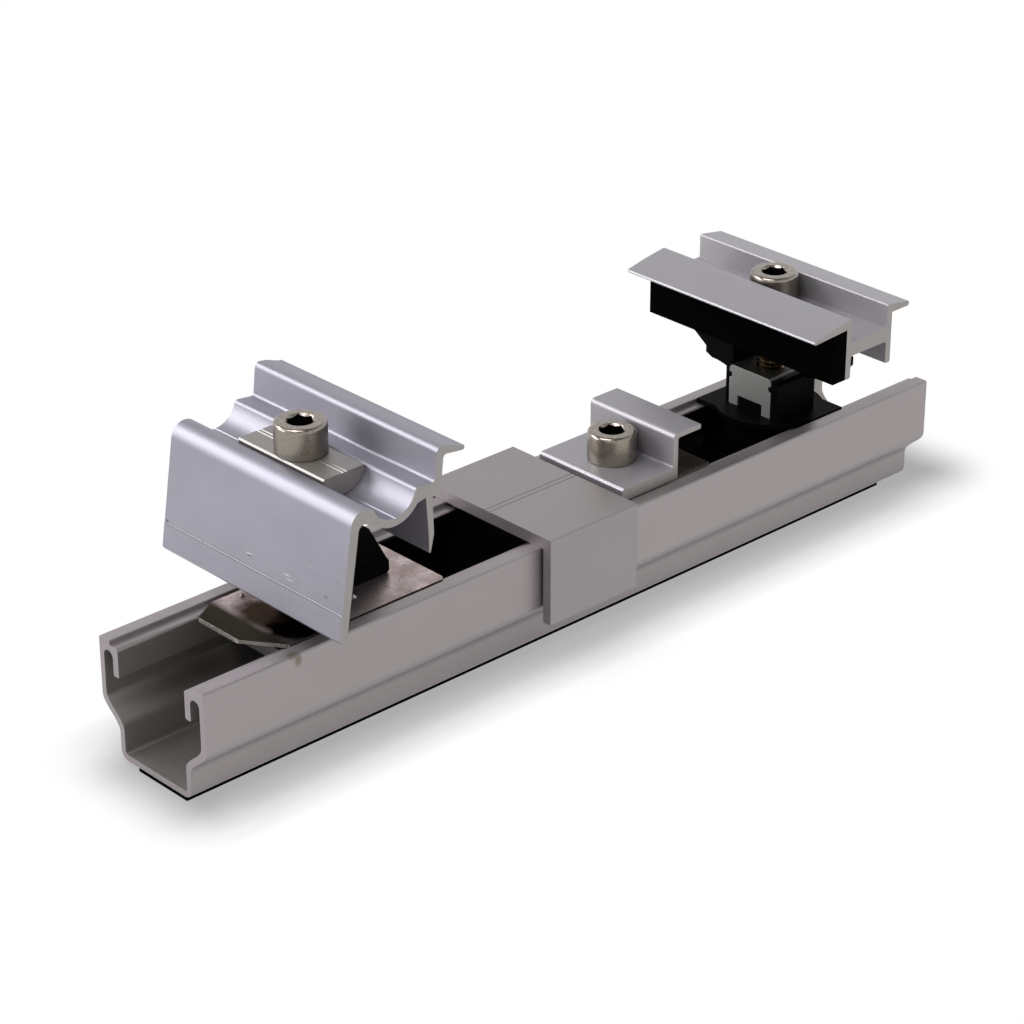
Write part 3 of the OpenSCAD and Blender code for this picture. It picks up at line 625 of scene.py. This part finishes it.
def rod(bm, x, radius, top, bottom, tip=0.0):
    """A round bar between two heights, with a short cone at its lower end if a tip is given."""
    depth = (top - bottom - tip) * MM
    middle = Matrix.Translation((x, 0, (bottom + tip) * MM + depth / 2))
    bmesh.ops.create_cone(bm, cap_ends=True, segments=STEPS * 2, radius1=radius * MM, radius2=radius * MM,
                          depth=depth, matrix=middle)
    if tip:
        cone = Matrix.Translation((x, 0, (bottom + tip / 2) * MM))
        bmesh.ops.create_cone(bm, cap_ends=True, segments=STEPS * 2, radius1=(radius - tip * 0.6) * MM,
                              radius2=radius * MM, depth=tip * MM, matrix=cone)


print("thread groove", round(CREST_R - ROOT_R, 2), "mm deep")

# %% [markdown]
# The three cap screws differ only in length. Each head is cut from its CAD screw, which has the
# hexagon socket already, and a thread, a core and a plain shank are put below it. Long screws have
# thread on their last 28 mm only. The faces are painted by place: thread below the seat, socket
# inside and under the rim, side, and all the rest as the bright headed top.

# %% Cap screws
HEAD_H = 8.0
SOCKET_REACH = 4.0
SIDE_FROM = 6.2
THREAD_RUN = 28.0
TIP_CHAMFER = 1.0


def head_only(bm, x, seat):
    """Cuts the shank off at the seat and closes the hole."""
    bmesh.ops.bisect_plane(bm, geom=bm.verts[:] + bm.edges[:] + bm.faces[:], dist=0.0001 * MM,
                           plane_co=(x, 0, (seat + 0.01) * MM), plane_no=(0, 0, -1), clear_outer=True)
    bmesh.ops.holes_fill(bm, edges=[e for e in bm.edges if e.is_boundary], sides=0)
    soften(bm, EDGE_BREAK)


def cap_screw(node):
    low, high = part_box(node)
    x = (low.x + high.x) / 2
    seat, tip = high.z / MM - HEAD_H, low.z / MM
    bm = joined_copy(node)
    head_only(bm, x, seat)
    thread_top = min(seat + PITCH, tip + THREAD_RUN)
    thread(bm, x, thread_top, tip + 1.2)
    rod(bm, x, ROOT_R + 0.01, seat + 0.5, tip, tip=TIP_CHAMFER)
    if thread_top < seat:
        rod(bm, x, CREST_R, seat + 0.5, thread_top - PITCH / 2)
    bmesh.ops.remove_doubles(bm, verts=bm.verts, dist=0.0005 * MM)
    bmesh.ops.recalc_face_normals(bm, faces=bm.faces)

    def paint(face):
        centre = face.calc_center_median()
        reach = math.hypot(centre.x - x, centre.y) / MM
        if centre.z < seat * MM:
            return 2
        if reach < SOCKET_REACH and centre.z < high.z - 0.5 * MM:
            return 3
        side = reach > SIDE_FROM and abs(face.normal.z) < 0.2
        return 0 if side else 1

    metals = [HEAD_SIDE, HEAD_TOP, THREAD, SOCKET_SHADE]
    piece = finish_piece(bm, node + "_skin", body_of[node], metals, paint)
    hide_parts(node)
    print(node, "length", round(seat - tip, 1), "mm")


for name in ("end_screw", "stop_screw", "mid_screw"):
    cap_screw(name)

# %% [markdown]
# The object stands on a plain white floor that runs into a white background. More light on the floor
# would bleach the object too, so the light stays as it is, and only the rays that look straight at
# the floor, or mirror it, see it as white. A Light Path node tells those rays from the ones that
# carry light to the object.

# %% Rays that show the background
def seen_directly(tree):
    """One for the rays that show the background: from the camera, off a mirror or through glass."""
    path = add_node(tree, "ShaderNodeLightPath")
    first = add_node(tree, "ShaderNodeMath", {"operation": "MAXIMUM"},
                     {0: path.outputs["Is Camera Ray"], 1: path.outputs["Is Transmission Ray"]})
    both = add_node(tree, "ShaderNodeMath", {"operation": "MAXIMUM"},
                    {0: first.outputs[0], 1: path.outputs["Is Glossy Ray"]})
    return both.outputs[0]


# %% [markdown]
# A floor that is seen as plain white has lost its shadow, so the shadow is put back in two parts. An
# Ambient Occlusion node darkens the floor wherever a piece is close above it. In the photograph a
# soft shadow also goes evenly all round the rail, past its ends. It is drawn by distance from the
# rail's footprint, which is a box shape: how far a point lies outside it, faded over 22 mm.
# The darker of the two counts. Metal mirrors a weaker shadow than the camera sees, as its satin
# skin takes in more of the white floor than of the dark line beside it.

# %% Shadow on the floor
SHADOW_REACH = 21.0
SHADOW_CENTRE = (5.5, -3.0)
SHADOW_HALF = (127.0, 10.5)
HALO_FROM, HALO_TO = -2.0, 22.0
HALO_DARK = 0.4
CONTACT_LOW, CONTACT_HIGH, CONTACT_DARK = 0.45, 0.97, 0.45
MIRRORED_DARK = 0.35


def halo(tree):
    """The soft shadow of the whole rail, darkest beside its footprint."""
    place = add_node(tree, "ShaderNodeTexCoord").outputs["Object"]
    moved = add_node(tree, "ShaderNodeVectorMath", {"operation": "SUBTRACT"},
                     {0: place, 1: [c * MM for c in SHADOW_CENTRE] + [0.0]})
    side = add_node(tree, "ShaderNodeVectorMath", {"operation": "ABSOLUTE"}, {0: moved.outputs["Vector"]})
    past = add_node(tree, "ShaderNodeVectorMath", {"operation": "SUBTRACT"},
                    {0: side.outputs["Vector"], 1: [h * MM for h in SHADOW_HALF] + [1.0]})
    outside = add_node(tree, "ShaderNodeVectorMath", {"operation": "MAXIMUM"},
                       {0: past.outputs["Vector"], 1: (0, 0, 0)})
    far = add_node(tree, "ShaderNodeVectorMath", {"operation": "LENGTH"}, {0: outside.outputs["Vector"]})
    fade = add_node(tree, "ShaderNodeMapRange", {"interpolation_type": "SMOOTHSTEP"},
                    {"Value": far.outputs["Value"], "From Min": HALO_FROM * MM, "From Max": HALO_TO * MM,
                     "To Min": HALO_DARK, "To Max": 1.0})
    return fade.outputs["Result"]


def floor_material():
    material = bpy.data.materials.new("white_paper_floor")
    material.use_nodes = True
    tree = material.node_tree
    tree.nodes.clear()
    paper = add_node(tree, "ShaderNodeBsdfDiffuse", {}, {"Color": (0.9, 0.9, 0.9, 1.0)})
    open_sky = add_node(tree, "ShaderNodeAmbientOcclusion", {"samples": 8}, {"Distance": SHADOW_REACH * MM})
    contact = spread(tree, open_sky.outputs["AO"], CONTACT_LOW, CONTACT_HIGH, CONTACT_DARK, 1.0)
    shade = add_node(tree, "ShaderNodeMath", {"operation": "MINIMUM"}, {0: contact, 1: halo(tree)}).outputs[0]
    mirrored = add_node(tree, "ShaderNodeLightPath").outputs["Is Glossy Ray"]
    half = spread(tree, shade, 0.0, 1.0, MIRRORED_DARK, 1.0)
    white = spread(tree, mirrored, 0.0, 1.0, shade, half)
    glow = add_node(tree, "ShaderNodeEmission", {}, {"Color": (1.0, 1.0, 1.0, 1.0), "Strength": white})
    both = add_node(tree, "ShaderNodeMixShader", {},
                    {0: seen_directly(tree), 1: paper.outputs["BSDF"], 2: glow.outputs["Emission"]})
    add_node(tree, "ShaderNodeOutputMaterial", {}, {"Surface": both.outputs["Shader"]})
    return material


bpy.ops.mesh.primitive_plane_add(size=8, location=(0, 0, -0.0001))
floor = bpy.context.object
floor.name = "studio_floor"
floor.data.materials.append(floor_material())
print("floor", floor.dimensions.x, "m wide")

# %% [markdown]
# The light in the photograph comes mostly from low behind the left: the screw heads throw their
# shadows forwards to the right, and the rounded shoulder of the end clamp and its trough shine on
# that side. A single lamp there leaves the rest too hard, so there are three wide soft ones: the key,
# one above for the tops of the heads, and one behind for the backs of the ledges.

# %% Lamps
def area_light(name, place, target, size, power):
    lamp = bpy.data.lights.new(name, "AREA")
    lamp.shape = "RECTANGLE"
    lamp.size, lamp.size_y = size
    lamp.energy = power
    holder = bpy.data.objects.new(name, lamp)
    holder.location = place
    holder.rotation_euler = (Vector(target) - Vector(place)).to_track_quat("-Z", "Y").to_euler()
    bpy.context.scene.collection.objects.link(holder)
    print(name, power, "W at", place)
    return holder


MIDDLE = (0, 0, 0.04)
area_light("key_soft_box", (-0.95, 0.62, 0.38), MIDDLE, (0.6, 0.4), 3.6)
area_light("upper_soft_box", (-0.35, 0.05, 0.9), MIDDLE, (0.5, 0.5), 4.5)
area_light("back_soft_box", (-0.5, 0.8, 0.63), MIDDLE, (0.5, 0.5), 5.0)

# %% [markdown]
# Metal shows the room it stands in. An even white room would make every flat the same pale grey, and
# the inside of the rail too. This one is white up to half its height and darker overhead, which is
# why flat tops that mirror the horizon are pale while the channel, which looks up, stays dark. Its
# colour could come from an image of a studio, but the height alone is enough here.

# %% Room
ROOM_WHITE_TO, ROOM_DARK_FROM = 0.5, 0.95
ROOM_DARK = 0.25
ROOM_LEVEL = 0.75  # what the room gives as light, while it is seen at 1


def white_room():
    world = bpy.data.worlds.new("white_room")
    world.use_nodes = True
    tree = world.node_tree
    tree.nodes.clear()
    looking = add_node(tree, "ShaderNodeTexCoord").outputs["Generated"]
    height = add_node(tree, "ShaderNodeSeparateXYZ", {}, {"Vector": looking}).outputs["Z"]
    sky = spread(tree, height, ROOM_WHITE_TO, ROOM_DARK_FROM, 1.0, ROOM_DARK)
    level = spread(tree, seen_directly(tree), 0.0, 1.0, ROOM_LEVEL, 1.0)
    strength = add_node(tree, "ShaderNodeMath", {"operation": "MULTIPLY"}, {0: sky, 1: level})
    glow = add_node(tree, "ShaderNodeBackground", {}, {"Color": (1, 1, 1, 1), "Strength": strength.outputs[0]})
    add_node(tree, "ShaderNodeOutputWorld", {}, {"Surface": glow.outputs["Background"]})
    return world


bpy.context.scene.world = white_room()
print("world:", bpy.context.scene.world.name)

# %% [markdown]
# The camera stands where the photographer stood. It could be placed by eye, but then no edge falls
# on its edge in the photograph. Its place and lens were worked out from the corners of the rail and
# the circles of the three screw heads, and are written as a point, two angles and a slight roll.

# %% Camera
CAMERA_AT = Vector((-0.4989, -0.5214, 0.3910))
AZIMUTH, ELEVATION, ROLL = math.radians(-43.066), math.radians(26.739), math.radians(-0.07)
LENS = 112.23

back = Vector((math.sin(AZIMUTH) * math.cos(ELEVATION),
               -math.cos(AZIMUTH) * math.cos(ELEVATION),
               math.sin(ELEVATION)))
right = (-back).cross(Vector((0, 0, 1))).normalized()
up = back.cross(right)
right, up = (right * math.cos(ROLL) + up * math.sin(ROLL), up * math.cos(ROLL) - right * math.sin(ROLL))
lens = bpy.data.cameras.new("photo_camera")
lens.sensor_width = 36.0
lens.lens = LENS
lens.clip_start = 0.01
camera = bpy.data.objects.new("photo_camera", lens)
camera.matrix_world = Matrix((
    (right.x, up.x, back.x, CAMERA_AT.x),
    (right.y, up.y, back.y, CAMERA_AT.y),
    (right.z, up.z, back.z, CAMERA_AT.z),
    (0, 0, 0, 1),
))
bpy.context.scene.collection.objects.link(camera)
bpy.context.scene.camera = camera
bpy.context.scene.view_settings.view_transform = "Standard"
print("camera", round(CAMERA_AT.length, 2), "m from the middle, lens", lens.lens, "mm")
